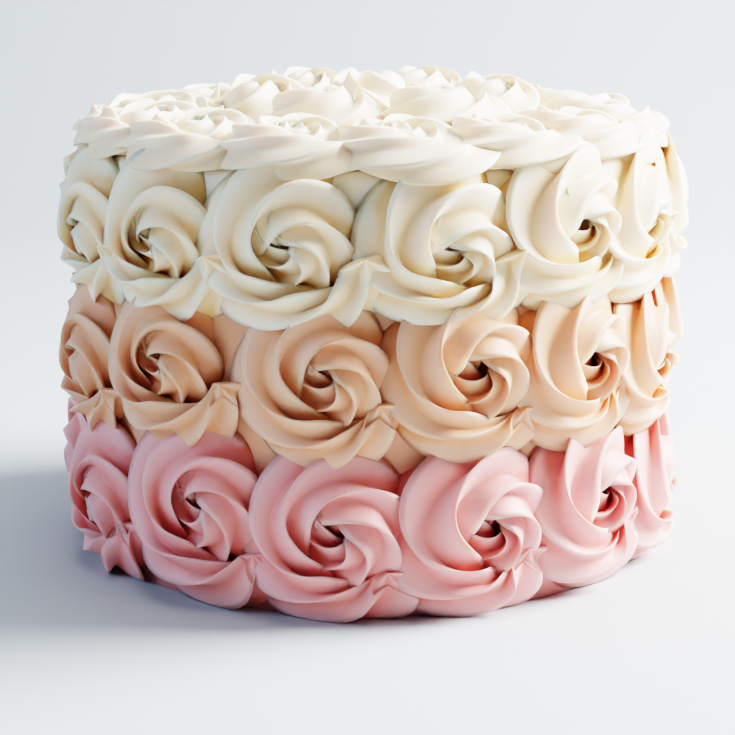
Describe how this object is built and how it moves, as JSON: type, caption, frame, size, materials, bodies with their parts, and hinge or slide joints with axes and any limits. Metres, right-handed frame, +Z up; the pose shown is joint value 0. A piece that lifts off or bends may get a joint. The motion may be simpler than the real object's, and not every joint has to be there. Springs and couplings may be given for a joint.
{
  "type": "layer cake",
  "caption": "Round iced layer cake wholly covered in piped buttercream rosettes, ombre in rows from pink at the base through peach to cream over the top.",
  "frame": {"origin": "centre of the cake's flat underside, on the surface it stands on", "axes": "+Z up, along the cake's height; the side that the picture shows faces -Y; +X is to the right seen from the front"},
  "size_m": [0.2361, 0.2363, 0.174],
  "materials": {
    "crumb_coat": "satin",
    "cream_icing": "satin",
    "peach_icing": "satin",
    "pink_icing": "satin"
  },
  "bodies": {
    "root": {"cake_body": "crumb_coat", "rosette_bottom_01": "pink_icing", "rosette_bottom_02": "pink_icing", "rosette_bottom_03": "pink_icing", "rosette_bottom_04": "pink_icing", "rosette_bottom_05": "pink_icing", "rosette_bottom_06": "pink_icing", "rosette_bottom_07": "pink_icing", "rosette_bottom_08": "pink_icing", "rosette_bottom_09": "pink_icing", "rosette_bottom_10": "pink_icing", "rosette_bottom_11": "pink_icing", "rosette_bottom_12": "pink_icing", "rosette_bottom_13": "pink_icing", "rosette_middle_01": "peach_icing", "rosette_middle_02": "peach_icing", "rosette_middle_03": "peach_icing", "rosette_middle_04": "peach_icing", "rosette_middle_05": "peach_icing", "rosette_middle_06": "peach_icing", "rosette_middle_07": "peach_icing", "rosette_middle_08": "peach_icing", "rosette_middle_09": "peach_icing", "rosette_middle_10": "peach_icing", "rosette_middle_11": "peach_icing", "rosette_middle_12": "peach_icing", "rosette_middle_13": "peach_icing", "rosette_top_crown_01": "cream_icing", "rosette_top_crown_02": "cream_icing", "rosette_top_crown_03": "cream_icing", "rosette_top_crown_04": "cream_icing", "rosette_top_crown_05": "cream_icing", "rosette_top_crown_06": "cream_icing", "rosette_top_crown_07": "cream_icing", "rosette_top_crown_08": "cream_icing", "rosette_top_crown_09": "cream_icing", "rosette_top_crown_10": "cream_icing", "rosette_top_crown_11": "cream_icing", "rosette_top_crown_12": "cream_icing", "rosette_top_crown_13": "cream_icing", "rosette_top_inner_01": "cream_icing", "rosette_top_inner_02": "cream_icing", "rosette_top_inner_03": "cream_icing", "rosette_top_inner_04": "cream_icing", "rosette_top_inner_05": "cream_icing", "rosette_top_inner_06": "cream_icing", "rosette_top_middle_01": "cream_icing", "rosette_upper_01": "cream_icing", "rosette_upper_02": "cream_icing", "rosette_upper_03": "cream_icing", "rosette_upper_04": "cream_icing", "rosette_upper_05": "cream_icing", "rosette_upper_06": "cream_icing", "rosette_upper_07": "cream_icing", "rosette_upper_08": "cream_icing", "rosette_upper_09": "cream_icing", "rosette_upper_10": "cream_icing", "rosette_upper_11": "cream_icing", "rosette_upper_12": "cream_icing", "rosette_upper_13": "cream_icing"}
  },
  "joints": []
}
